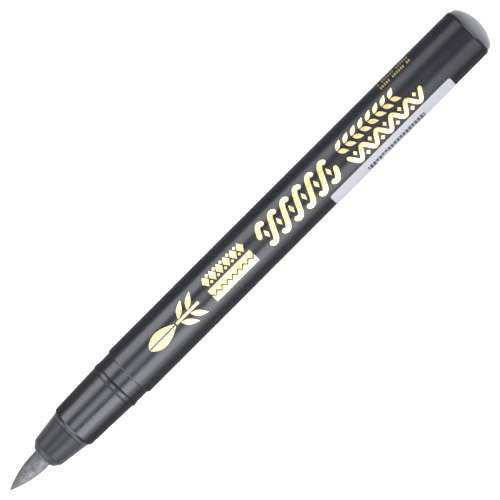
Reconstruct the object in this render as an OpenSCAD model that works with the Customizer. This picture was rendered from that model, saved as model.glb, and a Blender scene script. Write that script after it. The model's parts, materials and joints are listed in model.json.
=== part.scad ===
// Calligraphy brush marker with a press-to-feed valve, drawn without its cap.
// It lies along X on the plane z = 0, with the nib towards -X.
// Stations along the marker are distances from the tip of the nib.

/* [Barrel] */
// Outer diameter of the barrel at its front end
barrel_d = 12; // [11:0.5:14]
// Length of the barrel, from the front section to the rim at the back
barrel_len = 99.65; // [85:0.05:115]
// Length of the straight front stretch, before the moulding draft begins
barrel_straight_len = 26; // [10:1:40]
// How much the outer radius shrinks towards the back
barrel_draft = 0.13; // [0:0.01:0.2]
// Wall thickness at the front end
barrel_wall = 0.9; // [0.8:0.05:1]

/* [Nib] */
// Diameter of the fibre nib
nib_d = 4.2; // [3.5:0.1:4.2]
// Length of the nib that stands out of the nose cone
nib_out = 9.95; // [8:0.05:12]
// How far the nib presses in to open the valve
press_travel = 2; // [1.5:0.1:2.2]

/* [Nose cone] */
// Visible length of the nose cone
nose_len = 8.47; // [7:0.01:10]
// Length of the slanted stretch behind the front face
nose_slant_len = 1.55; // [1:0.05:2]
// Angle of that stretch to the marker's axis
nose_slant = 36; // [30:0.5:45]
// Taper angle of the side
nose_taper = 7.4; // [5:0.1:8]

/* [Front section] */
// Visible length of the front section
front_len = 16.78; // [14:0.01:20]
// Length of the neck that the cap's mouth fits over
neck_len = 3.08; // [2.5:0.01:4]
// How far the bead that the cap clicks over stands above the neck
bead_h = 0.14; // [0.05:0.01:0.2]
// Length of the spigot inside the barrel
front_spigot_len = 10; // [8:0.5:12]

/* [End plug] */
// Diameter of the part that shows behind the barrel's rim
plug_d = 11.06; // [10.6:0.02:11.4]
// Height of the domed end
dome_h = 2.8; // [2:0.1:3.4]
// Radius of the dome
dome_sphere_r = 8.8; // [7:0.05:12]
// Radius of the round between the side and the dome
dome_round = 1.6; // [1:0.1:2.5]
// Length of the spigot inside the barrel
plug_spigot_len = 7.85; // [6:0.05:10]

/* [Mixing ball] */
// Diameter of the steel ball
ball_d = 6; // [4:0.5:7]

/* [Valve] */
// Diameter of the valve rod
rod_d = 2.2; // [1.8:0.1:2.4]
// Wire diameter of the spring
wire_d = 0.36; // [0.25:0.01:0.4]
// Turns of the spring
spring_turns = 6.5; // [5:0.5:8]

/* [Label] */
// Length of the label along the barrel
label_len = 34.6; // [20:0.1:40]
// Width of the label round the barrel
label_w = 19; // [10:0.5:22]
// Thickness of the label
label_t = 0.08; // [0.05:0.01:0.12]
// Angle of its near edge from the top of the barrel, towards -Y
label_edge_angle = 40; // [30:1:60]

/* [Hidden] */

$fn = 96;
e = 0.01;              // overshoot of a cut past a face
fit = 0.05;            // gap between fixed pieces that slide together on assembly
slide_gap = 0.1;       // radial gap round a piece that slides
stop_gap = 0.15;       // gap in front of a piece that rests on a stop
arc_steps = 8;         // straight steps in a rounded stretch of an outline

// Radii of the outside
barrel_r = barrel_d / 2;
barrel_back_r = barrel_r - barrel_draft;
barrel_chamfer = 0.15;
barrel_chamfer_len = 0.2;
barrel_rim_r = 0.67;    // round at the back, which stops short of a full quarter
barrel_rim_turn = 68;
neck_step = 0.35;       // how far each stretch lies below the barrel's surface
front_back_step = 0.43;
front_face_step = 0.785;
neck_r = barrel_r - neck_step;
bead_r = neck_r + bead_h;
front_back_r = barrel_r - front_back_step;
front_face_r = barrel_r - front_face_step;
front_chamfer = 0.465;
front_chamfer_len = 0.53;
front_chamfer_round = 0.65;
nose_root_r = front_face_r - front_chamfer;
nose_face_round = 1.0;    // rounds before and after the slanted stretch
nose_slant_round = 1.6;
nib_r = nib_d / 2;
plug_r = plug_d / 2;

// Stations along the marker
nose_at = nib_out;
front_at = nose_at + nose_len;
barrel_at = front_at + front_len;
neck_at = barrel_at - neck_len;
bead_len = 1.64;
bead_ramp_front = 0.58; // lengths of the slopes on each side of its flat top
bead_ramp_back = 0.45;
bead_round = 0.6;
bead_at = neck_at - bead_len;
plug_at = barrel_at + barrel_len;
overall_len = plug_at + dome_h;
straight_end = barrel_at + barrel_straight_len;

// Radii and stations of the fixed inner pieces
bore_r = barrel_r - barrel_wall;
front_wall = 0.8;
front_bore_r = bore_r - front_wall;
inner_r = front_bore_r - fit;
mouth_r = nib_r + slide_gap;
holder_wall = 0.7;
holder_r = nib_r + holder_wall;
flange_h = 0.5;
flange_r = holder_r + flange_h;
flange_len = 1.2;
flange_back = 2.65;     // from the flange to the back of the holder
holder_setback = 4.35;  // from the nose's face to the holder
press_clear = 1;        // what is left behind the holder when the nib is pressed in
nib_tail = 1;           // how far the nib stands out behind the holder
nose_spigot_len = 9.63;
nose_back_at = front_at + nose_spigot_len;
holder_back_at = nose_back_at - press_travel - press_clear;
flange_at = holder_back_at - flange_back - flange_len;
holder_at = nose_at + holder_setback;
nib_back_at = holder_back_at + nib_tail;
absorber_room = 5;      // length between the nose's spigot and the valve housing
absorber_gap = 0.5;     // radial gap between the absorber and the nib
absorber_bore_r = nib_r + absorber_gap;
housing_wall = 1.2;
housing_side_wall = 0.9;
housing_at = nose_back_at + absorber_room;
housing_bore_r = inner_r - housing_side_wall;
housing_back_at = barrel_at + front_spigot_len;

// Valve
rod_r = rod_d / 2;
port_r = rod_r + 0.5;
gasket_len = 0.8;
gasket_at = housing_at + housing_wall;
head_r = housing_bore_r - 0.75;
head_len = 1.2;
head_at = gasket_at + gasket_len + slide_gap;
retainer_len = 1.2;
retainer_at = housing_back_at - 1;
retainer_r = housing_bore_r + 0.2;
rod_back_at = retainer_at + retainer_len + 0.6;
flow_hole_r = 0.45;
flow_holes = 4;
spring_at = head_at + head_len + slide_gap;
spring_len = retainer_at - slide_gap - spring_at;
spring_r = rod_r + 0.8;
spring_steps = 16;                       // steps in a turn
spring_sides = 6;                        // sides of the wire

// Mixing ball, lying on the wall of the ink chamber at its front stop
ball_r = ball_d / 2;
ball_at = rod_back_at + press_travel + ball_r + 0.5;
ball_drop = bore_r - ball_r - slide_gap;

// Label and printed foil, both wrapped on the barrel
label_at = barrel_at + 55.3;
label_angle = label_w / barrel_r * 180 / PI;
foil_t = 0.02;
plug_wall = 0.95;

// The label is what the marker rests on at the back, so the axis is as high as its surface
axis_z = max(barrel_r, barrel_radius(label_at) + label_t);

// Outer radius of the barrel at a station
function barrel_radius(s) =
    barrel_r - barrel_draft * max(0, (s - straight_end) / (plug_at - straight_end));

// Points along an arc of an outline, as [radius, station]
function arc(centre, r, from, to) = [
    for (i = [0:arc_steps])
        let (a = from + (to - from) * i / arc_steps)
            centre + r * [cos(a), sin(a)]
];

// Points that round a corner of an outline, between its two neighbours
function rounded(before, corner, after, r) =
    let (
        u = (before - corner) / norm(before - corner),
        v = (after - corner) / norm(after - corner),
        half = acos(u * v) / 2,
        centre = corner + (u + v) / norm(u + v) * r / sin(half),
        first = corner + u * r / tan(half) - centre,
        last = corner + v * r / tan(half) - centre,
        sweep = sign(cross(first, last)) * acos(first * last / (r * r)),
        start = atan2(first[1], first[0])
    )
        arc(centre, r, start, start + sweep);

// Turns an outline of [radius, station] points into its place along the marker
module turned(angle = 360, start = 0) {
    translate([-overall_len / 2, 0, axis_z]) rotate([0, 90, 0])
        rotate([0, 0, start]) rotate_extrude(angle = angle) children();
}

// A plain ring between two radii, from one station to the next
module ring(r_in, r_out, from, to) {
    turned() translate([r_in, from]) square([r_out - r_in, to - from]);
}

// A thin patch that lies on the barrel, between two stations and two angles from the top
module patch(from, to, start, end, thick) {
    turned(end - start, 180 + start) {
        polygon([
            for (s = [from, max(from, min(to, straight_end)), to]) [barrel_radius(s), s],
            for (s = [to, max(from, min(to, straight_end)), from]) [barrel_radius(s) + thick, s]
        ]);
    }
}

module barrel() {
    rim_c = [barrel_back_r - barrel_rim_r, plug_at - barrel_rim_r * sin(barrel_rim_turn)];
    color([0.16, 0.16, 0.18]) turned() polygon(concat(
        [
            [bore_r, barrel_at],
            [barrel_r - barrel_chamfer, barrel_at],
            [barrel_r, barrel_at + barrel_chamfer_len],
            [barrel_r, straight_end]
        ],
        arc(rim_c, barrel_rim_r, 0, barrel_rim_turn),
        [[bore_r, plug_at]]
    ));
}

module front_section() {
    foot = [nose_root_r, front_at];
    brow = [front_face_r, front_at + front_chamfer_len];
    bead_foot = [front_back_r, bead_at];
    bead_front = [bead_r, bead_at + bead_ramp_front];
    bead_back = [bead_r, neck_at - bead_ramp_back];
    neck = [neck_r, neck_at];
    color([0.17, 0.17, 0.19]) turned() polygon(concat(
        [[front_bore_r, front_at], foot],
        rounded(foot, brow, bead_foot, front_chamfer_round),
        [bead_foot],
        rounded(bead_foot, bead_front, bead_back, bead_round),
        rounded(bead_front, bead_back, neck, bead_round),
        [
            neck,
            [neck_r, barrel_at],
            [bore_r - fit, barrel_at],
            [bore_r - fit, housing_back_at],
            [front_bore_r, housing_back_at]
        ]
    ));
}

module nose_cone() {
    slant_at = nose_at + nose_slant_len;
    slant_r = nose_root_r - (front_at - slant_at) * tan(nose_taper);
    face_r = slant_r - nose_slant_len * tan(nose_slant);
    color([0.27, 0.28, 0.29]) turned() polygon(concat(
        [[mouth_r, nose_at]],
        rounded([mouth_r, nose_at], [face_r, nose_at], [slant_r, slant_at], nose_face_round),
        rounded([face_r, nose_at], [slant_r, slant_at], [nose_root_r, front_at], nose_slant_round),
        [
            [nose_root_r, front_at],
            [inner_r, front_at],
            [inner_r, nose_back_at],
            [flange_r + slide_gap, nose_back_at],
            [flange_r + slide_gap, flange_at - stop_gap],
            [holder_r + slide_gap, flange_at - stop_gap],
            [holder_r + slide_gap, holder_at - stop_gap],
            [mouth_r, holder_at - stop_gap]
        ]
    ));
}

// Its side meets the dome in a round
module end_plug() {
    cavity_r = bore_r - plug_wall;
    plug_front = plug_at - plug_spigot_len;
    cavity_back = plug_at + dome_h / 4;
    dome_c = [0, plug_at + dome_h - dome_sphere_r];
    between_r = dome_sphere_r - dome_round;
    meet_a = acos((plug_r - dome_round) / between_r);
    round_c = dome_c + between_r * [cos(meet_a), sin(meet_a)];
    color([0.62, 0.63, 0.64]) turned() polygon(concat(
        [
            [0, cavity_back], [cavity_r, cavity_back], [cavity_r, plug_front],
            [bore_r - fit, plug_front], [bore_r - fit, plug_at], [plug_r, plug_at]
        ],
        arc(round_c, dome_round, 0, meet_a),
        [for (p = arc(dome_c, dome_sphere_r, meet_a, 90)) [max(p[0], 0), p[1]]]
    ));
}

// The nib's point is an ogive: one arc from the tip to the full radius
module brush_nib() {
    point_len = nib_out - 0.85;
    ogive_r = (point_len * point_len + nib_r * nib_r) / (2 * nib_r);
    ogive_a = asin(point_len / ogive_r);
    ogive_c = [nib_r - ogive_r, point_len];
    color([0.68, 0.69, 0.71]) turned() polygon(concat(
        [[0, 0]],
        [for (p = arc(ogive_c, ogive_r, -ogive_a, 0)) if (p[1] > e) p],
        [[nib_r, nib_back_at], [0, nib_back_at]]
    ));
}

module nib_holder() {
    color([0.93, 0.93, 0.91]) {
        turned() polygon([
            [nib_r, holder_at], [holder_r, holder_at],
            [holder_r, flange_at], [flange_r, flange_at],
            [flange_r, flange_at + flange_len], [holder_r, flange_at + flange_len],
            [holder_r, holder_back_at], [nib_r, holder_back_at]
        ]);
    }
}

module ink_absorber() {
    color([0.86, 0.86, 0.84])
        ring(absorber_bore_r, inner_r, nose_back_at + slide_gap, housing_at - slide_gap);
}

module valve_housing() {
    color([0.93, 0.93, 0.91]) turned() polygon([
        [port_r, housing_at], [inner_r, housing_at],
        [inner_r, housing_back_at], [bore_r - fit, housing_back_at],
        [bore_r - fit, housing_back_at + housing_wall], [retainer_r + fit, housing_back_at + housing_wall],
        [retainer_r + fit, retainer_at], [housing_bore_r, retainer_at],
        [housing_bore_r, gasket_at], [port_r, gasket_at]
    ]);
}

module valve_gasket() {
    color([0.12, 0.12, 0.12])
        ring(port_r, housing_bore_r - fit, gasket_at, gasket_at + gasket_len);
}

module valve_rod() {
    color([0.93, 0.93, 0.91]) turned() polygon([
        [0, nib_back_at + stop_gap], [rod_r, nib_back_at + stop_gap],
        [rod_r, head_at], [head_r, head_at],
        [head_r, head_at + head_len], [rod_r, head_at + head_len],
        [rod_r, rod_back_at], [0, rod_back_at]
    ]);
}

// A round wire swept along a helix, by rings of points
module valve_spring() {
    steps = spring_turns * spring_steps;
    rise = spring_len - wire_d;
    wire_r = wire_d / 2;
    points = [
        for (i = [0:steps], j = [0:spring_sides - 1])
            let (
                turn = 360 * spring_turns * i / steps,
                side = 360 * j / spring_sides,
                r = spring_r + wire_r * cos(side),
                s = spring_at + wire_r + rise * i / steps + wire_r * sin(side)
            )
                [r * cos(turn), r * sin(turn), s]
    ];
    faces = concat(
        [[for (j = [0:spring_sides - 1]) j]],
        [
            for (i = [0:steps - 1], j = [0:spring_sides - 1])
                let (a = i * spring_sides, b = a + spring_sides, k = (j + 1) % spring_sides)
                    [a + j, b + j, b + k, a + k]
        ],
        [[for (j = [spring_sides - 1:-1:0]) steps * spring_sides + j]]
    );
    color([0.72, 0.73, 0.75])
        translate([-overall_len / 2, 0, axis_z]) rotate([0, 90, 0]) polyhedron(points, faces);
}

module spring_retainer() {
    hole_at = (spring_r + wire_d / 2 + housing_bore_r) / 2;
    color([0.93, 0.93, 0.91]) difference() {
        ring(rod_r + slide_gap, retainer_r, retainer_at, retainer_at + retainer_len);
        for (i = [0:flow_holes - 1])
            translate([retainer_at - e - overall_len / 2, 0, axis_z]) rotate([i * 360 / flow_holes, 0, 0])
                translate([0, 0, hole_at]) rotate([0, 90, 0]) cylinder(r = flow_hole_r, h = retainer_len + 2 * e);
    }
}

module mixing_ball() {
    color([0.75, 0.76, 0.78])
        translate([ball_at - overall_len / 2, 0, axis_z - ball_drop]) sphere(ball_r);
}

module label() {
    color([0.90, 0.90, 0.93]) patch(
        label_at, label_at + label_len,
        label_edge_angle, label_edge_angle + label_angle, label_t
    );
}

// Panels of stamped foil: a bud and its leaves, a small row over a bar, a large row,
// two long rows, and two rows of fine marks. Each is [from, to, start angle, end angle],
// with its stations counted from the front of the barrel.
module foil_print() {
    panels = [
        [6.7, 14.8, -18, 18], [15.2, 21.2, -31, 31],
        [23.8, 35.8, -31, -5], [23.8, 36.1, -2, 27],
        [38.8, 60.9, -31, 31],
        [62.8, 80.2, -33, -1], [62.8, 84.8, 3, 37],
        [78.0, 86.8, -70, -59], [78.0, 86.8, -56, -45]
    ];
    color([0.86, 0.73, 0.40]) for (p = panels)
        patch(barrel_at + p[0], barrel_at + p[1], p[2], p[3], foil_t);
}

barrel();
front_section();
nose_cone();
end_plug();
brush_nib();
nib_holder();
ink_absorber();
valve_housing();
valve_gasket();
valve_rod();
valve_spring();
spring_retainer();
mixing_ball();
label();
foil_print();
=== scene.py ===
import json
import math

import bmesh
import bpy
from bpy.props import FloatProperty, FloatVectorProperty, PointerProperty
from mathutils import Matrix, Vector, noise


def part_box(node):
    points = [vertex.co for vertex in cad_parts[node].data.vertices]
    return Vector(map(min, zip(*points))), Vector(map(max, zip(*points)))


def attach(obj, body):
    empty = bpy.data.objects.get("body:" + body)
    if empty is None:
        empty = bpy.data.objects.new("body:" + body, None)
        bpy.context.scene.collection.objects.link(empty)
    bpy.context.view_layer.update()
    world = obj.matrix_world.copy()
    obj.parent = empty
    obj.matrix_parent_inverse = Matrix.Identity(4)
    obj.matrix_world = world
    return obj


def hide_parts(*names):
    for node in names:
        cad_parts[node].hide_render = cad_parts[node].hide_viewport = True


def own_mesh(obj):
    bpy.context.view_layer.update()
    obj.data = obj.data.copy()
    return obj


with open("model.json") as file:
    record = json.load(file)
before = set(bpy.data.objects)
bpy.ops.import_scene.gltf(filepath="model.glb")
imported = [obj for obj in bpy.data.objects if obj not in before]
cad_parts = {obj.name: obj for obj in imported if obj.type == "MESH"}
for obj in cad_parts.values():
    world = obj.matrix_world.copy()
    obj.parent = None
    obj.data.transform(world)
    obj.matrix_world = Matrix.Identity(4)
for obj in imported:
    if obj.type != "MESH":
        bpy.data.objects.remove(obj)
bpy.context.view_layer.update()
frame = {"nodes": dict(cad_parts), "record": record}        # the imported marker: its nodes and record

bl_info = {
    "name": "Calligraphy Marker",
    "version": (1, 0, 0),
    "blender": (4, 5, 0),
    "location": "View3D > Sidebar > Marker",
    "description": "Models the shells, brush nib, foil print, label and spring of a calligraphy marker",
    "category": "Object",
}

MM = 0.001
RING_SIDES = 128         # sides of a turned shell
ARC_STEPS = 10           # rings in a rounded stretch of an outline
CHARCOAL = "glossy charcoal plastic"

# ---------------------------------------------------------------------------
# Places and sizes that come from the frame
# ---------------------------------------------------------------------------

MOUNTS = {m["name"]: m for m in frame["record"]["mounts"]}
CLAMP, CAP_SEAT = MOUNTS["barrel_clamp"], MOUNTS["cap_seat"]
AXIS_Z = CLAMP["pos_m"][2]
BARREL_RADIUS = CLAMP["dims"]["r_mm"] * MM
STRAIGHT_END = CLAMP["pos_m"][0] + CLAMP["dims"]["length_mm"] * MM / 2
NECK_RADIUS = CAP_SEAT["dims"]["r_mm"] * MM
NECK_START = CAP_SEAT["pos_m"][0] - CAP_SEAT["dims"]["length_mm"] * MM / 2


def span(node):
    """The first and last station of a CAD node along the marker."""
    low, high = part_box(node)
    return low.x, high.x


def half_height(node):
    """Half the height of a CAD node: the outer radius of a turned one."""
    low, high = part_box(node)
    return (high.z - low.z) / 2


TIP, NIB_BACK = span("brush_nib")
NOSE_FRONT, NOSE_BACK = span("nose_cone")
FRONT_START, SPIGOT_END = span("front_section")
BARREL_START, BARREL_END = span("barrel")
PLUG_FRONT, MARKER_END = span("end_plug")
NIB_RADIUS = half_height("brush_nib")
PLUG_RADIUS = half_height("end_plug")
NOSE_ROOT_RADIUS = half_height("nose_cone")
BEAD_RADIUS = half_height("front_section")


# ---------------------------------------------------------------------------
# Settings that a user would change
# ---------------------------------------------------------------------------


def length(name, description, millimetres):
    return FloatProperty(name=name, description=description, default=millimetres * MM,
                         unit="LENGTH", precision=5)


def angle(name, description, degrees):
    return FloatProperty(name=name, description=description, default=math.radians(degrees),
                         subtype="ANGLE")


def colour(name, description, red, green, blue):
    return FloatVectorProperty(name=name, description=description, default=(red, green, blue),
                               subtype="COLOR", size=3, min=0, max=1)


def amount(name, description, value):
    return FloatProperty(name=name, description=description, default=value, min=0)


class MarkerSizes(bpy.types.PropertyGroup):
    """Sizes of the details that the CAD model leaves plain"""

    draft: length("Draft", "How much the barrel's radius shrinks towards the back", 0.13)
    wall: length("Barrel wall", "Wall thickness of the barrel at its front", 0.9)
    front_wall: length("Front section wall", "Wall of the spigot inside the barrel", 0.75)
    fit_gap: length("Fit gap", "Gap between pieces that are pushed together", 0.05)
    edge: length("Barrel chamfer", "Radial size of the chamfer at the barrel's front", 0.15)
    edge_length: length("Barrel chamfer length", "Length of that chamfer", 0.2)
    rim: length("Rim round", "Rounding of the barrel's back rim", 0.67)
    rim_turn: angle("Rim turn", "How far the rim's rounding turns before the rim's flat face", 68)
    bead_length: length("Bead length", "Length of the bead that the cap clicks over", 1.64)
    bead_front: length("Bead front slope", "Length of the slope before its flat top", 0.58)
    bead_back: length("Bead back slope", "Length of the slope behind its flat top", 0.45)
    bead_round: length("Bead round", "Round between the bead's slopes and its top", 0.6)
    bead_step: length("Bead step", "How far the section lies below the barrel in front of the bead", 0.43)
    chamfer: length("Front chamfer", "Radial size of the front section's chamfer", 0.465)
    chamfer_length: length("Front chamfer length", "Length of that chamfer", 0.53)
    chamfer_round: length("Front chamfer round", "Round behind the front section's chamfer", 0.65)
    nose_slant_length: length("Nose slant length", "Length of the slanted stretch behind its face", 1.55)
    nose_slant: angle("Nose slant", "Angle of that stretch to the marker's axis", 36)
    nose_face_round: length("Nose face round", "Round between the face and the slant", 1.0)
    nose_side_round: length("Nose side round", "Round between the slant and the side", 1.6)
    nose_taper: angle("Nose taper", "Slope of the nose cone's side", 7.4)
    # The nose ring's paler colour is a painted highlight; only its colour changes.
    nose_ring: length("Nose ring", "Length of the paler, matt ring at the nose cone's root", 0.55)
    nose_groove: length("Nose groove", "Depth and half the width of the groove before that ring", 0.1)
    mouth_gap: length("Mouth gap", "Gap between the nib and the nose cone's mouth", 0.1)
    dome_sphere: length("Dome radius", "Radius of the end plug's dome", 8.8)
    dome_round: length("Dome round", "Round between the plug's side and its dome", 1.6)
    small_round: length("Small round", "Rounding of the remaining moulded edges", 0.05)
    foil_height: length("Foil height", "How far the foil stands above the barrel", 0.015)
    label_thickness: length("Label thickness", "Thickness of the stick-on label", 0.078)
    label_corner: length("Label corner", "Radius of the label's corners", 0.6)
    label_edge: angle("Label edge", "Angle of the label's near edge from overhead", 40)
    label_width: length("Label width", "Width of the label round the barrel", 19)
    fibre_depth: length("Fibre depth", "Depth of the furrows between the nib's fibres", 0.03)
    spring_wire: length("Spring wire", "Wire diameter of the valve spring", 0.36)


class MarkerColours(bpy.types.PropertyGroup):
    """Colours of the marker's finishes"""

    body: colour("Body", "Glossy charcoal plastic of the barrel", 0.0052, 0.0052, 0.0072)
    nose: colour("Nose", "Satin dark grey plastic of the nose cone", 0.011, 0.0113, 0.0128)
    plug: colour("Plug", "Satin grey plastic of the end plug", 0.042, 0.0425, 0.044)
    # The fibres are mixed between a lit colour and a painted shade for the furrows between them; the dark colour also
    # serves as ink.
    fibre_light: colour("Fibre light", "Lit fibres, coated in silvery ink", 0.165, 0.165, 0.170)
    fibre_shade_and_ink: colour("Fibre dark", "Furrows between the fibres", 0.022, 0.0225, 0.025)
    gold: colour("Gold", "Hot-stamped foil", 0.86, 0.70, 0.36)
    gold_deep: colour("Deep gold", "Thin or rubbed places in the foil", 0.60, 0.44, 0.18)
    paper: colour("Paper", "Face of the label", 0.222, 0.223, 0.230)
    ink: colour("Label ink", "Marks on the label", 0.02, 0.02, 0.025)
    valve: colour("Valve plastic", "Off-white plastic of the valve", 0.74, 0.74, 0.70)
    steel: colour("Steel", "Spring wire and mixing ball", 0.60, 0.61, 0.63)
    rubber: colour("Rubber", "Valve gasket", 0.02, 0.02, 0.02)
    absorber: colour("Absorber", "Pressed fibre of the ink absorber", 0.62, 0.62, 0.61)


class StageSettings(bpy.types.PropertyGroup):
    """Camera, lights and floor"""

    distance: length("Camera distance", "Height of the camera over the marker's axis", 624)
    foot: length("Camera foot", "Distance from the nib's tip to the point under the camera", 102)
    aim: length("Aim", "Distance from the nib's tip to the middle of the view", 70.96)
    side: length("Aim offset", "How far the view's middle lies to the side of the axis", -0.062)
    view_width: length("View width", "Width of the view at the marker", 103.59)
    roll: angle("Roll", "Angle of the marker in the view", 45.03)
    light_distance: length("Light distance", "Distance of the soft lights from the marker", 800)
    overhead: amount("Overhead light", "Brightness of the overhead strip", 5.4)
    upper: amount("Upper light", "Brightness of the strip on the +Y side", 5.6)
    lower: amount("Lower light", "Brightness of the strip on the -Y side", 7.2)
    side_light: amount("Side light", "Brightness of the low strip on the -Y side", 2.0)
    side_back: amount("Back side light", "Brightness of that strip towards the back end", 1.0)
    upper_back: amount("Upper back light", "Brightness of the +Y strip over the back end", 1.35)
    lower_back: amount("Lower back light", "Brightness of the -Y strip over the back end", 0.85)
    front_light: amount("Front light", "Brightness of the low card in front of the nib", 4.2)
    back_card: amount("Back light", "Brightness of the low card behind the end plug", 5.0)
    side_wash: amount("Side wash", "Brightness of the broad light on the -Y side, for matt surfaces",
                      3.7)
    wash: amount("Wash", "Brightness of the broad light that only the matt surfaces take", 0.85)
    fill: amount("Fill", "Brightness of the surroundings", 0.28)
    floor: colour("Floor", "Plain pale floor", 0.93, 0.93, 0.93)


# ---------------------------------------------------------------------------
# Modelling
# ---------------------------------------------------------------------------


def start_fresh():
    """Leaves edit mode and deselects everything."""
    if bpy.context.object and bpy.context.object.mode != "OBJECT":
        bpy.ops.object.mode_set(mode="OBJECT")
    bpy.ops.object.select_all(action="DESELECT")


def begin_piece(name):
    """Names the object that was just added, puts its place into its mesh and edits it."""
    piece = bpy.context.object
    piece.name = piece.data.name = name
    bpy.ops.object.transform_apply(location=True, rotation=True, scale=True)
    bpy.ops.object.mode_set(mode="EDIT")
    return piece


def arc(centre, radius, start, end, steps=ARC_STEPS):
    """Points of an outline on an arc; centre is (station, radius) and 90 degrees faces outwards."""
    angles = [math.radians(start + (end - start) * i / steps) for i in range(steps + 1)]
    return [(centre[0] + radius * math.cos(a), centre[1] + radius * math.sin(a)) for a in angles]


def fillet(before, corner, after, radius, steps=ARC_STEPS):
    """Points that round a corner of an outline, between its two neighbours."""
    corner = Vector(corner)
    u, v = (Vector(before) - corner).normalized(), (Vector(after) - corner).normalized()
    half = u.angle(v) / 2
    centre = corner + (u + v).normalized() * radius / math.sin(half)
    first = corner + u * radius / math.tan(half) - centre
    last = corner + v * radius / math.tan(half) - centre
    start = math.degrees(math.atan2(first.y, first.x))
    sweep = math.degrees(math.atan2(first.cross(last), first.dot(last)))
    return arc(centre, radius, start, start + sweep, steps)


def held(outline, margin=0.09 * MM):
    """An outline with extra points near the ends of its long stretches, which keep them
    straight under smooth shading."""
    points = [outline[0]]
    for start, end in zip(outline, outline[1:]):
        length_ = math.dist(start, end)
        if length_ > 4 * margin and end[1] > 0:
            for share in (margin / length_, 1 - margin / length_):
                points.append(tuple(a + (b - a) * share for a, b in zip(start, end)))
        points.append(end)
    return points


def turn(name, outline, cap=False, close=False):
    """A solid of revolution: a ring is extruded from point to point of an outline of
    (station, radius) and scaled. A radius of 0 closes it in a point."""
    start_fresh()
    outline = held(outline)
    station, radius = outline[0]
    bpy.ops.mesh.primitive_circle_add(
        vertices=RING_SIDES, radius=radius, fill_type="NGON" if cap else "NOTHING",
        location=(station, 0, AXIS_Z), rotation=(0, math.radians(90), 0),
    )
    piece = begin_piece(name)
    bpy.ops.mesh.select_all(action="SELECT")
    for (x_from, r_from), (x_to, r_to) in zip(outline, outline[1:]):
        bpy.ops.mesh.extrude_region_move(
            TRANSFORM_OT_translate={"value": (x_to - x_from, 0, 0), "orient_type": "GLOBAL"})
        if r_to == 0:
            bpy.ops.mesh.merge(type="CENTER")
            break
        if r_to != r_from:
            k = r_to / r_from
            bpy.ops.transform.resize(value=(1, k, k), orient_type="GLOBAL",
                                     center_override=(x_to, 0, AXIS_Z))
    bpy.ops.mesh.select_all(action="SELECT")
    if close:
        bpy.ops.mesh.remove_doubles(threshold=1e-6)
    bpy.ops.mesh.normals_make_consistent(inside=False)
    bpy.ops.object.mode_set(mode="OBJECT")
    return piece


def apply_modifier(piece, kind, **settings):
    """Adds one modifier to a piece and applies it."""
    start_fresh()
    piece.select_set(True)
    bpy.context.view_layer.objects.active = piece
    modifier = piece.modifiers.new(kind.title(), kind)
    for key, value in settings.items():
        setattr(modifier, key, value)
    bpy.ops.object.modifier_apply(modifier=modifier.name)


def smooth(piece, degrees=32):
    """Shades a piece smooth except over its sharp edges."""
    start_fresh()
    piece.select_set(True)
    bpy.context.view_layer.objects.active = piece
    bpy.ops.object.shade_smooth_by_angle(angle=math.radians(degrees))


def finish_piece(piece, finish, body, replaced):
    """Gives a piece its finish, puts it under the empty of its body and hides the CAD part that it replaces."""
    piece.data.materials.clear()
    piece.data.materials.append(finish)
    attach(piece, body)
    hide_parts(replaced)


def barrel_radius(station, sizes):
    """Outer radius of the barrel at a station."""
    share = (station - STRAIGHT_END) / (BARREL_END - STRAIGHT_END)
    return BARREL_RADIUS - sizes.draft * max(0, share)


def wrap(piece, sizes):
    """Wraps a flat piece on the barrel: its X is the station, and its Y the arc from the top
    of the barrel towards -Y."""
    for vertex in piece.data.vertices:
        radius = barrel_radius(vertex.co.x, sizes)
        turned = vertex.co.y / BARREL_RADIUS
        lift = radius + vertex.co.z
        vertex.co.y = -lift * math.sin(turned)
        vertex.co.z = AXIS_Z + lift * math.cos(turned)


def slice_flat(start, end, step):
    """Cuts the edited flat mesh across Y at even steps, so that it can wrap smoothly."""
    cuts = int(round((end - start) / step))
    for i in range(1, cuts):
        bpy.ops.mesh.select_all(action="SELECT")
        bpy.ops.mesh.bisect(plane_co=(0, start + (end - start) * i / cuts, 0), plane_no=(0, 1, 0))


def face_down():
    """Turns the faces of the edited flat mesh to face -Z: wrap mirrors them, so that they
    face outwards after it."""
    bpy.ops.mesh.select_mode(type="FACE")
    bpy.ops.mesh.select_all(action="DESELECT")
    mesh = bmesh.from_edit_mesh(bpy.context.edit_object.data)
    for face in mesh.faces:
        face.normal_update()
        if face.normal.z > 0:
            face.select_set(True)
    bmesh.update_edit_mesh(bpy.context.edit_object.data)
    bpy.ops.mesh.flip_normals()
    bpy.ops.mesh.select_mode(type="VERT")


# ---------------------------------------------------------------------------
# Finishes
# ---------------------------------------------------------------------------


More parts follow.
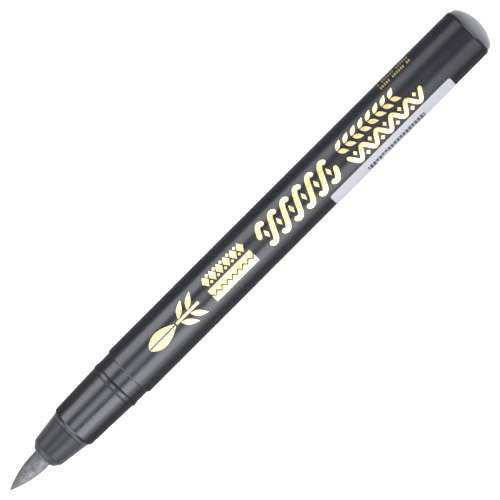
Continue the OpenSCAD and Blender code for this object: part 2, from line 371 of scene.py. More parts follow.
class Finish:
    """A node material, built from named helpers so that each finish below stays short."""

    def __init__(self, name):
        self.material = bpy.data.materials.new(name)
        self.material.use_nodes = True
        self.tree = self.material.node_tree
        self.shader = self.tree.nodes["Principled BSDF"]
        self.place = self.node("ShaderNodeTexCoord").outputs["Object"]

    def node(self, kind, settings=None, **inputs):
        made = self.tree.nodes.new(kind)
        for key, value in (settings or {}).items():
            setattr(made, key, value)
        for key, value in inputs.items():
            self.put(made.inputs[key.replace("_", " ")], value)
        return made

    def put(self, socket, value):
        if isinstance(value, bpy.types.NodeSocket):
            self.tree.links.new(value, socket)
        else:
            socket.default_value = value

    def set(self, **inputs):
        for key, value in inputs.items():
            self.put(self.shader.inputs[key.replace("_", " ")], value)

    def stretched(self, scale, source=None, location=(0, 0, 0)):
        """The place, scaled apart along each axis."""
        return self.node("ShaderNodeMapping", Vector=source or self.place, Scale=scale,
                         Location=location).outputs["Vector"]

    def grain(self, scale, detail=3.0, roughness=0.5, vector=None, distortion=0.0):
        return self.node("ShaderNodeTexNoise", Vector=vector or self.place, Scale=scale, Detail=detail,
                         Roughness=roughness, Distortion=distortion).outputs["Fac"]

    def math(self, operation, a, b=0.0, clamp=False):
        made = self.tree.nodes.new("ShaderNodeMath")
        made.operation, made.use_clamp = operation, clamp
        self.put(made.inputs[0], a)
        self.put(made.inputs[1], b)
        return made.outputs[0]

    def between(self, value, low, high, out_low=0.0, out_high=1.0):
        """A value mapped from one range to another, and held inside it."""
        return self.node("ShaderNodeMapRange", Value=value, From_Min=low, From_Max=high,
                         To_Min=out_low, To_Max=out_high).outputs["Result"]

    def mix(self, share, first, second):
        made = self.tree.nodes.new("ShaderNodeMix")
        made.data_type = "RGBA"
        for index, value in ((0, share), (6, first), (7, second)):
            if not isinstance(value, (float, int, bpy.types.NodeSocket)):
                value = (*value, 1.0)[:4]
            self.put(made.inputs[index], value)
        return made.outputs[2]

    def bump(self, height, distance, strength=1.0, normal=None):
        made = self.node("ShaderNodeBump", Height=height, Distance=distance, Strength=strength)
        if normal is not None:
            self.put(made.inputs["Normal"], normal)
        return made.outputs["Normal"]

    def split(self, vector):
        return self.node("ShaderNodeSeparateXYZ", Vector=vector).outputs

    def round_the_axis(self):
        """The turn about the marker's axis, in radians, and the station."""
        x, y, z = self.split(self.place)
        return self.math("ARCTAN2", y, self.math("SUBTRACT", z, AXIS_Z)), x


def brighter(tint, factor):
    return tuple(min(1.0, c * factor) for c in tint)


def gloss_plastic(colours):
    """Glossy charcoal plastic: a faint moulding ripple, fine rubbing marks and dulled patches."""
    f = Finish(CHARCOAL)
    handled = f.grain(90, detail=5)
    hairline = f.grain(1.0, detail=4, roughness=0.65, vector=f.stretched((260, 4200, 4200)))
    f.set(
        Base_Color=f.mix(f.between(handled, 0.35, 0.7), colours.body, brighter(colours.body, 1.25)),
        Roughness=f.math("ADD", f.between(handled, 0.3, 0.7, 0.25, 0.30),
                         f.between(hairline, 0.55, 0.8, 0.0, 0.04)),
        Normal=f.bump(f.grain(520, detail=2), 0.000003,
                      normal=f.bump(hairline, 0.0000004)),
        IOR=1.5,
    )
    return f.material


def satin_plastic(name, tint, roughness=0.42, sheen=0.0, painted_light_end=1.0, gloss=0.5, ring=0.0):
    """Satin moulded plastic with a fine spark-eroded texture and slightly uneven tone. It can turn
    paler from the barrel's rim towards the marker's end, which is painted light, and have a ring
    in front of the front section painted paler, a painted highlight."""
    f = Finish(name)
    patch = f.grain(140, detail=4)
    texture = f.grain(5200, detail=3, roughness=0.6)
    tone = f.mix(f.between(patch, 0.3, 0.7), brighter(tint, 0.92), brighter(tint, 1.12))
    # Painted light: the colour turns paler from the barrel's rim to the marker's end, standing in for the light on the
    # plug's dome.
    if painted_light_end > 1:
        behind = f.between(f.split(f.place)[0], BARREL_END, MARKER_END)
        tone = f.mix(behind, tone, brighter(tint, painted_light_end))
    # Painted highlight: the ring in front of the front section is painted paler, standing in for the light that the
    # nose's root catches.
    if ring:
        painted_highlight_ring = f.math("GREATER_THAN", f.split(f.place)[0], FRONT_START - ring)
        tone = f.mix(painted_highlight_ring, tone, brighter(tint, 2.1))
    f.set(
        Base_Color=tone,
        Roughness=f.between(patch, 0.3, 0.7, roughness - 0.04, roughness + 0.05),
        Normal=f.bump(texture, 0.000006),
        IOR=1.48,
        Specular_IOR_Level=gloss,
        Sheen_Weight=sheen,
        Sheen_Roughness=0.45,
    )
    return f.material


def brush_fibre(colours):
    """Bundled fibres soaked in metallic ink: streaks along the nib, flecks and a dark wet tip, with
    painted shade in the furrows, bright specks painted as glints and painted shade on the +Y side."""
    f = Finish("brush fibre")
    turned, station = f.round_the_axis()
    around = f.math("MULTIPLY", turned, 9.0)
    bundle = f.node("ShaderNodeCombineXYZ", X=f.math("MULTIPLY", station, 420.0), Y=around).outputs[0]
    strand = f.grain(2.4, detail=6, roughness=0.7, vector=bundle)
    fleck = f.grain(3000, detail=4, roughness=0.7)
    clump = f.grain(900, detail=3)
    tone = f.math("ADD", f.math("MULTIPLY", strand, 0.5),
                  f.math("ADD", f.math("MULTIPLY", fleck, 0.4), f.math("MULTIPLY", clump, 0.25)))
    # Painted shade: the fibres get the dark colour where their bump is lowest, in the furrows, and the lit colour on
    # the ridges; the mix also varies at random.
    lit = f.mix(f.between(tone, 0.47, 0.68), colours.fibre_shade_and_ink, colours.fibre_light)
    # Painted glints: bright specks, paler than the lit fibres, are painted into the colour.
    spark = f.between(f.grain(4200, detail=2), 0.56, 0.66)
    lit = f.mix(f.math("MULTIPLY", spark, 0.6), lit, brighter(colours.fibre_light, 1.6))
    # Painted shade: the fibres darken towards the +Y side, away from the light.
    lit = f.mix(f.between(turned, -1.0, 0.9, 0.0, 0.75), lit, colours.fibre_shade_and_ink)
    wet = f.between(station, TIP, TIP + 3.2 * MM, 0.6, 0.0)
    f.set(
        Base_Color=f.mix(wet, lit, brighter(colours.fibre_shade_and_ink, 0.8)),
        Metallic=0.35,
        Roughness=f.between(fleck, 0.3, 0.7, 0.45, 0.62),
        Normal=f.bump(tone, 0.00006, strength=0.8),
        Sheen_Weight=0.15,
        Sheen_Roughness=0.5,
    )
    return f.material


def gold_foil(colours):
    """Hot-stamped foil: a metal skin with a soft grain, rubbed places and pinholes."""
    f = Finish("gold foil")
    rub = f.grain(650, detail=5, roughness=0.6)
    pin = f.grain(4200, detail=2)
    tone = f.mix(f.between(rub, 0.48, 0.72), colours.gold, colours.gold_deep)
    f.set(
        Base_Color=f.mix(f.between(pin, 0.70, 0.76, 0.0, 0.5), tone, brighter(colours.gold_deep, 0.5)),
        Metallic=1.0,
        Roughness=f.between(rub, 0.3, 0.7, 0.34, 0.46),
        Normal=f.bump(f.grain(1500, detail=3), 0.000008),
    )
    return f.material


def label_paper(colours):
    """Coated label paper, printed with a row of blocks and a bar pattern, both meaningless.
    It reads the label's own flat map, in millimetres from its front corner."""
    f = Finish("label paper")
    flat = f.node("ShaderNodeUVMap", {"uv_map": "flat"}).outputs["UV"]
    along, across, _ = f.split(flat)

    def inside(value, low, high):
        return f.math("MULTIPLY", f.math("GREATER_THAN", value, low), f.math("LESS_THAN", value, high))

    def dice(value, seed):
        """An even random number for each whole number."""
        cell = f.math("ADD", f.math("FLOOR", value), seed)
        return f.node("ShaderNodeTexWhiteNoise", {"noise_dimensions": "1D"}, W=cell).outputs["Value"]

    def area(x0, x1, y0, y1):
        return f.math("MULTIPLY", inside(along, x0, x1), inside(across, y0, y1))

    tick = f.math("DIVIDE", along, 0.85)
    in_tick = inside(f.math("FRACT", tick), 0.12, 0.82)
    tall = f.math("LESS_THAN", across, f.math("ADD", 2.9, f.math("MULTIPLY", dice(tick, 3.5), 1.2)))
    group = f.math("GREATER_THAN", dice(f.math("DIVIDE", along, 1.7), 17.5), 0.12)
    row = f.math("MULTIPLY", area(9.7, 25.9, 1.9, 4.1),
                 f.math("MULTIPLY", group, f.math("MULTIPLY", in_tick, tall)))
    bars = f.math("MULTIPLY", area(4.5, 30.8, 6.2, 13.6),
                  f.math("GREATER_THAN", dice(f.math("DIVIDE", along, 0.33), 41.5), 0.52))
    foot = f.math("MULTIPLY", area(8.0, 27.0, 14.6, 16.2),
                  inside(f.math("FRACT", f.math("DIVIDE", along, 1.9)), 0.2, 0.75))
    printed = f.math("MAXIMUM", row, f.math("MAXIMUM", bars, foot))
    tooth = f.grain(2600, detail=5, roughness=0.65)
    cloud = f.grain(260, detail=4)
    paper = f.mix(f.between(cloud, 0.3, 0.7), brighter(colours.paper, 0.95),
                  brighter(colours.paper, 1.04))
    f.set(
        Base_Color=f.mix(f.math("MULTIPLY", printed, f.between(tooth, 0.25, 0.4, 0.75, 1.0)),
                         paper, colours.ink),
        Roughness=f.between(tooth, 0.3, 0.7, 0.50, 0.62),
        Normal=f.bump(tooth, 0.000006),
    )
    return f.material


def spring_steel(colours):
    """Drawn steel wire with fine draw marks."""
    f = Finish("drawn steel")
    marks = f.grain(6000, detail=3)
    f.set(
        Base_Color=f.mix(f.between(marks, 0.3, 0.7), brighter(colours.steel, 0.8), colours.steel),
        Metallic=1.0,
        Roughness=f.between(marks, 0.3, 0.7, 0.22, 0.36),
        Normal=f.bump(marks, 0.000004),
    )
    return f.material


def ball_steel(colours):
    """Polished ball with faint scuffs from rolling."""
    f = Finish("polished ball steel")
    scuff = f.grain(1.0, detail=6, roughness=0.7, vector=f.stretched((900, 2500, 900)))
    f.set(
        Base_Color=f.mix(f.between(scuff, 0.45, 0.75), colours.steel, brighter(colours.steel, 0.75)),
        Metallic=1.0,
        Roughness=f.between(scuff, 0.4, 0.8, 0.06, 0.28),
        Normal=f.bump(scuff, 0.000002),
    )
    return f.material


def gasket_rubber(colours):
    """Matt black rubber."""
    f = Finish("gasket rubber")
    grain = f.grain(2800, detail=4)
    f.set(
        Base_Color=f.mix(f.between(grain, 0.3, 0.7), colours.rubber, brighter(colours.rubber, 1.8)),
        Roughness=f.between(grain, 0.3, 0.7, 0.72, 0.86),
        Normal=f.bump(grain, 0.00001),
    )
    return f.material


def porous_fibre(colours):
    """Pressed porous fibre, stained grey where it has taken up ink."""
    f = Finish("porous absorber")
    pores = f.grain(3000, detail=6, roughness=0.75)
    stain = f.grain(380, detail=4)
    paper = f.mix(f.between(pores, 0.35, 0.6), brighter(colours.absorber, 0.45), colours.absorber)
    f.set(
        Base_Color=f.mix(f.between(stain, 0.45, 0.7, 0.0, 0.6), paper, colours.fibre_shade_and_ink),
        Roughness=0.9,
        Normal=f.bump(pores, 0.00005),
        Sheen_Weight=0.2,
    )
    return f.material


# ---------------------------------------------------------------------------
# One operator for each piece
# ---------------------------------------------------------------------------


class PieceOperator:
    """What the operators below share."""

    bl_options = {"REGISTER", "UNDO"}

    @property
    def sizes(self):
        return bpy.context.scene.marker_sizes

    @property
    def colours(self):
        return bpy.context.scene.marker_colours

    def charcoal(self):
        """The finish that the barrel and the front section share, made once."""
        return bpy.data.materials.get(CHARCOAL) or gloss_plastic(self.colours)


class MARKER_OT_barrel(PieceOperator, bpy.types.Operator):
    """Turn the barrel: a straight front stretch, a slight draft and a rounded back rim"""

    bl_idname = "calligraphy.barrel"
    bl_label = "Barrel"

    def execute(self, context):
        s = self.sizes
        bore = BARREL_RADIUS - s.wall
        back = BARREL_RADIUS - s.draft
        outline = [(BARREL_START, bore)]
        face = (BARREL_START, BARREL_RADIUS - s.edge)
        shoulder = (BARREL_START + s.edge_length, BARREL_RADIUS)
        straight = (STRAIGHT_END, BARREL_RADIUS)
        outline += fillet(outline[0], face, shoulder, s.small_round, 2)
        outline += fillet(face, shoulder, straight, s.small_round, 2) + [straight]
        rim_centre = (BARREL_END - s.rim * math.sin(s.rim_turn), back - s.rim)
        outline += arc(rim_centre, s.rim, 90, 90 - math.degrees(s.rim_turn), 8)
        outline += [(BARREL_END, bore), (BARREL_START, bore)]
        barrel = turn("barrel_shell", outline, close=True)
        smooth(barrel)
        finish_piece(barrel, self.charcoal(), "marker_body", "barrel")
        return {"FINISHED"}


class MARKER_OT_front_section(PieceOperator, bpy.types.Operator):
    """Turn the front section, with the bead and the neck that hold a cap"""

    bl_idname = "calligraphy.front_section"
    bl_label = "Front section"

    def execute(self, context):
        s = self.sizes
        inner = BARREL_RADIUS - s.wall - s.fit_gap
        bore = inner - s.front_wall
        face = NOSE_ROOT_RADIUS + s.chamfer
        foot, brow = (FRONT_START, NOSE_ROOT_RADIUS), (FRONT_START + s.chamfer_length, face)
        bead_foot = (NECK_START - s.bead_length, BARREL_RADIUS - s.bead_step)
        bead_front = (bead_foot[0] + s.bead_front, BEAD_RADIUS)
        bead_back = (NECK_START - s.bead_back, BEAD_RADIUS)
        neck = (NECK_START, NECK_RADIUS)
        outline = [(FRONT_START, bore), foot] + fillet(foot, brow, bead_foot, s.chamfer_round)
        outline += [bead_foot] + fillet(bead_foot, bead_front, bead_back, s.bead_round, 6)
        outline += fillet(bead_front, bead_back, neck, s.bead_round, 6) + [neck]
        outline += [(BARREL_START, NECK_RADIUS), (BARREL_START, inner), (SPIGOT_END, inner),
                    (SPIGOT_END, bore), (FRONT_START, bore)]
        section = turn("front_section_shell", outline, close=True)
        smooth(section, 16)
        finish_piece(section, self.charcoal(), "marker_body", "front_section")
        return {"FINISHED"}


class MARKER_OT_nose_cone(PieceOperator, bpy.types.Operator):
    """Turn the nose cone with its rounded front and the mouth round the nib"""

    bl_idname = "calligraphy.nose_cone"
    bl_label = "Nose cone"

    def execute(self, context):
        s = self.sizes
        mouth = NIB_RADIUS + s.mouth_gap
        bore = mouth + 0.7 * MM              # round the nib's holder
        wide_bore = bore + 0.5 * MM          # round the holder's flange
        holder_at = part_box("nib_holder")[0].x
        bore_from, bore_to = holder_at - 0.15 * MM, holder_at + 6.8 * MM
        inner = BARREL_RADIUS - s.wall - 2 * s.fit_gap - s.front_wall
        slant_at = NOSE_FRONT + s.nose_slant_length
        slant_radius = NOSE_ROOT_RADIUS - (FRONT_START - slant_at) * math.tan(s.nose_taper)
        face_radius = slant_radius - s.nose_slant_length * math.tan(s.nose_slant)
        lip, brow = (NOSE_FRONT, mouth), (NOSE_FRONT, face_radius)
        cheek, root = (slant_at, slant_radius), (FRONT_START, NOSE_ROOT_RADIUS)
        outline = [lip] + fillet(lip, brow, cheek, s.nose_face_round)
        outline += fillet(brow, cheek, root, s.nose_side_round)
        # The groove: its front edge, its bottom and its back edge, where the ring starts.
        for back, depth in ((2, 0), (1, 1), (0, 0)):
            station = FRONT_START - s.nose_ring - back * s.nose_groove
            side = NOSE_ROOT_RADIUS - (FRONT_START - station) * math.tan(s.nose_taper)
            outline.append((station, side - depth * s.nose_groove))
        outline += [root, (FRONT_START, inner), (NOSE_BACK, inner), (NOSE_BACK, wide_bore),
                    (bore_to, wide_bore), (bore_to, bore), (bore_from, bore), (bore_from, mouth),
                    outline[0]]
        nose = turn("nose_cone_shell", outline, close=True)
        smooth(nose, 28)
        # The nose's finish has a painted highlight on the ring at its root.
        finish = satin_plastic("satin nose plastic", self.colours.nose, roughness=0.31, sheen=0.18,
                               gloss=0.21, ring=s.nose_ring)
        finish_piece(nose, finish, "marker_body", "nose_cone")
        return {"FINISHED"}


class MARKER_OT_end_plug(PieceOperator, bpy.types.Operator):
    """Turn the hollow end plug with its domed end"""

    bl_idname = "calligraphy.end_plug"
    bl_label = "End plug"

    def execute(self, context):
        s = self.sizes
        outer = BARREL_RADIUS - s.wall - s.fit_gap
        plug_wall = 0.95 * MM
        inner = BARREL_RADIUS - s.wall - plug_wall
        cavity = BARREL_END + (MARKER_END - BARREL_END) / 4
        dome_at = MARKER_END - s.dome_sphere
        between = s.dome_sphere - s.dome_round
        meet = math.acos((PLUG_RADIUS - s.dome_round) / between)
        round_centre = (dome_at + between * math.sin(meet), PLUG_RADIUS - s.dome_round)
        outline = [(cavity, inner), (PLUG_FRONT, inner), (PLUG_FRONT, outer), (BARREL_END, outer)]
        outline += [(BARREL_END, PLUG_RADIUS)]
        outline += arc(round_centre, s.dome_round, 90, 90 - math.degrees(meet), 12)
        outline += arc((dome_at, 0), s.dome_sphere, 90 - math.degrees(meet), 0, 16)[1:-1]
        outline += [(MARKER_END, 0)]
        plug = turn("end_plug_dome", outline, cap=True)
        smooth(plug, 30)
        # The plug's finish turns paler towards its end through painted light.
        finish = satin_plastic("satin plug plastic", self.colours.plug, roughness=0.5, sheen=0.24,
                               painted_light_end=3.6, gloss=0.35)
        finish_piece(plug, finish, "marker_body", "end_plug")
        return {"FINISHED"}


class MARKER_OT_brush_nib(PieceOperator, bpy.types.Operator):
    """Turn the leaf-shaped nib and furrow it into fibres"""

    bl_idname = "calligraphy.brush_nib"
    bl_label = "Brush nib"

    def execute(self, context):
        s = self.sizes
        shoulder = NOSE_FRONT - 0.9 * MM     # where the straight shank turns into the leaf shape
        point = shoulder - TIP
        ogive = (point ** 2 + NIB_RADIUS ** 2) / (2 * NIB_RADIUS)
        reach = math.degrees(math.asin(point / ogive))
        outline = [(NIB_BACK, NIB_RADIUS), (NOSE_FRONT + 3 * MM, NIB_RADIUS)]
        outline += arc((shoulder, NIB_RADIUS - ogive), ogive, 90, 90 + reach, 72)[:-1] + [(TIP, 0)]
        nib = turn("brush_fibres", outline, cap=True)
        for vertex in nib.data.vertices:
            self.furrow(vertex, s.fibre_depth)
        smooth(nib, 180)
        finish_piece(nib, brush_fibre(self.colours), "nib", "brush_nib")
        return {"FINISHED"}

    @staticmethod
    def furrow(vertex, depth):
        """Sinks or lifts a point of the nib, so that fibres run to the tip, each with its own wander."""
        x, y, z = vertex.co.x, vertex.co.y, vertex.co.z - AXIS_Z
        radius = math.hypot(y, z)
        if radius < 0.05 * MM or x > NOSE_FRONT + MM:
            return
        turned = math.atan2(y, z) + 0.25 * noise.noise(Vector((x * 300, 4.7, 1.3)))
        around = Vector((math.cos(turned) * 6.5, math.sin(turned) * 6.5, x * 110))
        clump = Vector((math.cos(turned) * 1.8, math.sin(turned) * 1.8, x * 60 + 9))
        ridge = abs(noise.noise(around)) + 0.7 * abs(noise.noise(around * 2.3))
        ridge += 0.6 * abs(noise.noise(clump))
        sink = min(depth * (ridge - 0.75), 0.2 * radius)
        k = (radius - sink) / radius
        vertex.co.y, vertex.co.z = y * k, z * k + AXIS_Z


class Mark:
    """Marks of the foil print, drawn flat: an edge is extruded from point to point. X is the
    station and Y the arc round the barrel from overhead towards -Y."""

    LEAST = 0.03 * MM        # the breadth of a pointed end

    @classmethod
    def edge(cls, low, high):
        """Adds an edge between two points and selects it."""
        bpy.ops.mesh.primitive_plane_add(size=MM, location=(*low, 0))
        bpy.ops.mesh.merge(type="CENTER")
        bpy.ops.mesh.extrude_region_move(
            TRANSFORM_OT_translate={"value": (high[0] - low[0], high[1] - low[1], 0)})
        mesh = bmesh.from_edit_mesh(bpy.context.edit_object.data)
        tip = next(v for v in mesh.verts if v.select)
        for linked in tip.link_edges:
            linked.select_set(True)

    @classmethod
    def band(cls, steps):
        """A filled shape between two lines over X. Each step is (x, low, high)."""
        x, low, high = steps[0]
        centre, breadth = (low + high) / 2, max(high - low, cls.LEAST)
        cls.edge((x, centre - breadth / 2), (x, centre + breadth / 2))
        for next_x, low, high in steps[1:]:
            next_centre, next_breadth = (low + high) / 2, max(high - low, cls.LEAST)
            bpy.ops.mesh.extrude_region_move(
                TRANSFORM_OT_translate={"value": (next_x - x, next_centre - centre, 0)})
            bpy.ops.transform.resize(value=(1, next_breadth / breadth, 1), orient_type="GLOBAL",
                                     center_override=(next_x, next_centre, 0))
            x, centre, breadth = next_x, next_centre, next_breadth

    @classmethod
    def ribbon(cls, path, breadths):
        """A ribbon along a path, as broad at each point as its breadth there."""
        turns = [math.atan2(b[1] - a[1], b[0] - a[0]) for a, b in zip(path, path[1:])]
        facing = [turns[0]] + [(a + b) / 2 for a, b in zip(turns, turns[1:])] + [turns[-1]]
        x, y = path[0]
        side = Vector((-math.sin(facing[0]), math.cos(facing[0]))) * breadths[0] / 2
        cls.edge((x - side.x, y - side.y), (x + side.x, y + side.y))
        for i in range(1, len(path)):
            (x_from, y_from), (x_to, y_to) = path[i - 1], path[i]
            bpy.ops.mesh.extrude_region_move(
                TRANSFORM_OT_translate={"value": (x_to - x_from, y_to - y_from, 0)})
            here = (x_to, y_to, 0)
            bpy.ops.transform.rotate(value=facing[i - 1] - facing[i], orient_axis="Z",
                                     orient_type="GLOBAL", center_override=here)
            k = breadths[i] / breadths[i - 1]
            bpy.ops.transform.resize(value=(k, k, 1), orient_type="GLOBAL", center_override=here)

    @classmethod
    def strand(cls, path, breadth):
        """A ribbon with rounded ends."""
        last = len(path) - 1
        ends = {0: 0.5, 1: 0.85}
        cls.ribbon(path, [breadth * ends.get(min(i, last - i), 1.0) for i in range(last + 1)])

    @classmethod
    def leaf(cls, root, tip, breadth, steps=7):
        """A leaf from its root to its tip."""
        path = [tuple(a + (b - a) * i / steps for a, b in zip(root, tip)) for i in range(steps + 1)]
        swell = [max(math.sin(math.pi * (i / steps) ** 0.85), 0.08) for i in range(steps + 1)]
        cls.ribbon(path, [breadth * share for share in swell])

    @classmethod
    def lozenge(cls, x, y, length_, breadth):
        """A lozenge round a point."""
        cls.band([(x - length_ / 2, y, y), (x, y - breadth / 2, y + breadth / 2),
                  (x + length_ / 2, y, y)])


class MARKER_OT_foil_print(PieceOperator, bpy.types.Operator):
    """Draw the foil print: a sprig, lozenges over a split bar, a twist, leaves, a wave and ticks"""

    bl_idname = "calligraphy.foil_print"
    bl_label = "Foil print"

    def execute(self, context):
        s = self.sizes
        start_fresh()
        bpy.ops.mesh.primitive_plane_add(size=MM)
        foil = begin_piece("foil_marks")
        bpy.ops.mesh.delete(type="VERT")
        self.sprig(BARREL_START + 6.9 * MM)
        self.lozenge_row(BARREL_START + 24.0 * MM, -1.9 * MM)
        self.split_bar(BARREL_START + 23.9 * MM, 1.31 * MM)
        self.twist(BARREL_START + 39.1 * MM)
        self.leaf_row(BARREL_START + 63.0 * MM, -1.78 * MM)
        self.wave_row(BARREL_START + 63.2 * MM, 2.1 * MM)
        self.fine_ticks(BARREL_START + 78.1 * MM)
        reach = 8 * MM
        slice_flat(-reach, reach, 0.4 * MM)
        face_down()
        bpy.ops.object.mode_set(mode="OBJECT")
        wrap(foil, s)
        apply_modifier(foil, "SOLIDIFY", thickness=s.foil_height, offset=1.0)
        smooth(foil, 40)
        finish_piece(foil, gold_foil(self.colours), "marker_body", "foil_print")
        return {"FINISHED"}

    @staticmethod
    def sprig(x):
        """A bud with a split down its middle, on a stem with two pairs of leaves."""
        steps, bud, split = 20, 7.3 * MM, 0.17 * MM
        for side in (-1, 1):
            shape = []
            for i in range(steps + 1):
                outer = split + 1.6 * MM * math.sin(math.pi * (i / steps) ** 0.8) ** 0.8
                shape.append((x + bud * i / steps, *sorted((side * split, side * outer))))
            Mark.band(shape)
            for gap in (8.7, 11.3):
                root = (x + gap * MM, side * 0.5 * MM)
                Mark.leaf(root, (x + (gap + 2.8) * MM, side * 3.0 * MM), 1.25 * MM)
        Mark.band([(x + 7.7 * MM, -0.24 * MM, 0.24 * MM), (x + 14.1 * MM, -0.3 * MM, 0.3 * MM)])

    @staticmethod
    def lozenge_row(x, y):
        for i in range(6):
            Mark.lozenge(x + (0.9 + 2.0 * i) * MM, y, 1.75 * MM, 2.5 * MM)
            for side in (-1, 1) if i < 5 else ():
                Mark.lozenge(x + (1.9 + 2.0 * i) * MM, y + side * 0.85 * MM, 0.8 * MM, 0.8 * MM)

    @staticmethod
    def split_bar(x, y):
        """A bar that a zigzag splits along its middle."""
        teeth, pitch, rise, gap, half = 8, 1.51 * MM, 0.8 * MM, 0.2 * MM, 1.5 * MM
        points = [(x + pitch * i / 2, y + (rise / 2 if i % 2 else -rise / 2))
                  for i in range(2 * teeth + 1)]
        Mark.band([(at, y - half, middle - gap) for at, middle in points])
        Mark.band([(at, middle + gap, y + half) for at, middle in points])

    @staticmethod
    def twist(x):
        """Two strands that wind round each other, with a lozenge in each eye."""
        eyes, pitch, height, breadth = 6, 3.58 * MM, 2.55 * MM, 1.15 * MM
        fine, break_ = 24, 0.26       # steps in an eye; the share of it where the lower strand stops
        for side in (-1, 1):
            first = 0 if side > 0 else -1
            for run in range(first, eyes, 2):
                low, high = max(0.0, run + break_), min(float(eyes), run + 2 - break_)
                count = max(4, int((high - low) * fine))
                along = [low + (high - low) * i / count for i in range(count + 1)]
                path = [(x + pitch * a, side * height * math.sin(math.pi * a)) for a in along]
                Mark.strand(path, breadth)
        for eye in range(eyes):
            Mark.lozenge(x + pitch * (eye + 0.5), 0, 1.0 * MM, 2.0 * MM)

    @staticmethod
    def leaf_row(x, y):
        """Pairs of slanted leaves."""
        for i in range(8):
            at = x + 2.15 * i * MM
            for side in (-1, 1):
                Mark.leaf((at, y + side * 0.15 * MM), (at + 1.9 * MM, y + side * 1.6 * MM), 1.05 * MM)

    @staticmethod
    def wave_row(x, y):
        """A broad wave with a dot in each of its hollows."""
        waves, pitch, height, steps = 5, 4.25 * MM, 1.2 * MM, 20
        path = [
            (x + pitch * i / steps, y - height * math.cos(2 * math.pi * i / steps))
            for i in range(waves * steps + 1)
        ]
        Mark.strand(path, 0.95 * MM)
        for i in range(2 * waves - 1):
            side = -1 if i % 2 == 0 else 1
            Mark.lozenge(x + pitch * (i + 1) / 2, y + side * 0.95 * MM, 1.0 * MM, 1.1 * MM)

    @staticmethod
    def fine_ticks(x):
        """Two rows of very fine ticks, round towards the side."""
        for row, y in enumerate((-7.3 * MM, -5.75 * MM)):
            for i in range(15):
                if (i * 3 + row * 2) % 7 == 3:
                    continue
                at = x + (0.2 + 0.58 * i) * MM
                Mark.band([(at, y, y + 0.85 * MM), (at + 0.34 * MM, y, y + 0.85 * MM)])


class MARKER_OT_label(PieceOperator, bpy.types.Operator):
    """Wrap the label round the side and the underside of the barrel"""

    bl_idname = "calligraphy.label"
    bl_label = "Label"

    def execute(self, context):
        s = self.sizes
        start, end = span("label")
        near = s.label_edge * BARREL_RADIUS
        width = s.label_width
        start_fresh()
        bpy.ops.mesh.primitive_plane_add(
            size=1, location=((start + end) / 2, near + width / 2, 0))
        bpy.context.object.scale = (end - start, width, 1)
        label = begin_piece("label_paper")
        bpy.ops.mesh.select_all(action="SELECT")
        bpy.ops.mesh.bevel(offset=s.label_corner, segments=8, affect="VERTICES")
        slice_flat(near, near + width, 0.35 * MM)
        face_down()
        bpy.ops.object.mode_set(mode="OBJECT")
        self.map_flat(label, start, near)
        wrap(label, s)
        apply_modifier(label, "SOLIDIFY", thickness=s.label_thickness, offset=1.0)
        smooth(label, 40)
        finish_piece(label, label_paper(self.colours), "marker_body", "label")
        return {"FINISHED"}

    @staticmethod
    def map_flat(label, start, near):
        """Keeps each point's flat place, in millimetres, as the label's map."""
        if "flat" not in label.data.uv_layers:
            label.data.uv_layers.new(name="flat")
        for other in [u for u in label.data.uv_layers if u.name != "flat"]:
            label.data.uv_layers.remove(other)
        layer = label.data.uv_layers["flat"]
        for loop in label.data.loops:
            place = label.data.vertices[loop.vertex_index].co
            layer.data[loop.index].uv = ((place.x - start) / MM, (place.y - near) / MM)


class MARKER_OT_valve_spring(PieceOperator, bpy.types.Operator):
    """Screw the valve spring out of its wire's section"""

    bl_idname = "calligraphy.valve_spring"
    bl_label = "Valve spring"

    def execute(self, context):
        s = self.sizes
        start, end = span("valve_spring")
        turns, steps_a_turn, sides = 6.5, 28, 12
        wire = s.spring_wire / 2
        mean = half_height("valve_spring") - wire
        start_fresh()
        bpy.ops.mesh.primitive_circle_add(vertices=sides, radius=wire, fill_type="NOTHING",
                                          location=(0, 0, mean), rotation=(math.radians(90), 0, 0))
        spring = begin_piece("valve_spring_coil")
        bpy.ops.object.mode_set(mode="OBJECT")
        rise = (end - start) - s.spring_wire
        steps = int(turns * steps_a_turn)
        apply_modifier(spring, "SCREW", axis="X", angle=math.radians(360 * turns), screw_offset=rise,
                       steps=steps, render_steps=steps, use_smooth_shade=True)
        start_fresh()
        spring.select_set(True)
        bpy.context.view_layer.objects.active = spring
        bpy.ops.object.mode_set(mode="EDIT")
        bpy.ops.mesh.select_all(action="SELECT")
        bpy.ops.transform.translate(value=(start + wire, 0, AXIS_Z))
        bpy.ops.mesh.select_all(action="DESELECT")
        bpy.ops.mesh.select_non_manifold()
        bpy.ops.mesh.edge_face_add()
        bpy.ops.mesh.select_all(action="SELECT")
        bpy.ops.mesh.normals_make_consistent(inside=False)
        bpy.ops.object.mode_set(mode="OBJECT")
        finish_piece(spring, spring_steel(self.colours), "marker_body", "valve_spring")
        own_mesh(spring)
        return {"FINISHED"}


class MARKER_OT_inner_finishes(PieceOperator, bpy.types.Operator):
    """Give the inner pieces that keep their CAD shape their finishes"""

    bl_idname = "calligraphy.inner_finishes"
    bl_label = "Inner finishes"

    def execute(self, context):
        white = satin_plastic("off-white valve plastic", self.colours.valve, 0.38)
        finishes = {
            white: ("nib_holder", "valve_housing", "valve_rod", "spring_retainer"),
            gasket_rubber(self.colours): ("valve_gasket",),
            porous_fibre(self.colours): ("ink_absorber",),
            ball_steel(self.colours): ("mixing_ball",),
        }
        for finish, names in finishes.items():
            for name in names:
                node = frame["nodes"][name]
                node.data.materials.clear()
                node.data.materials.append(finish)
        return {"FINISHED"}


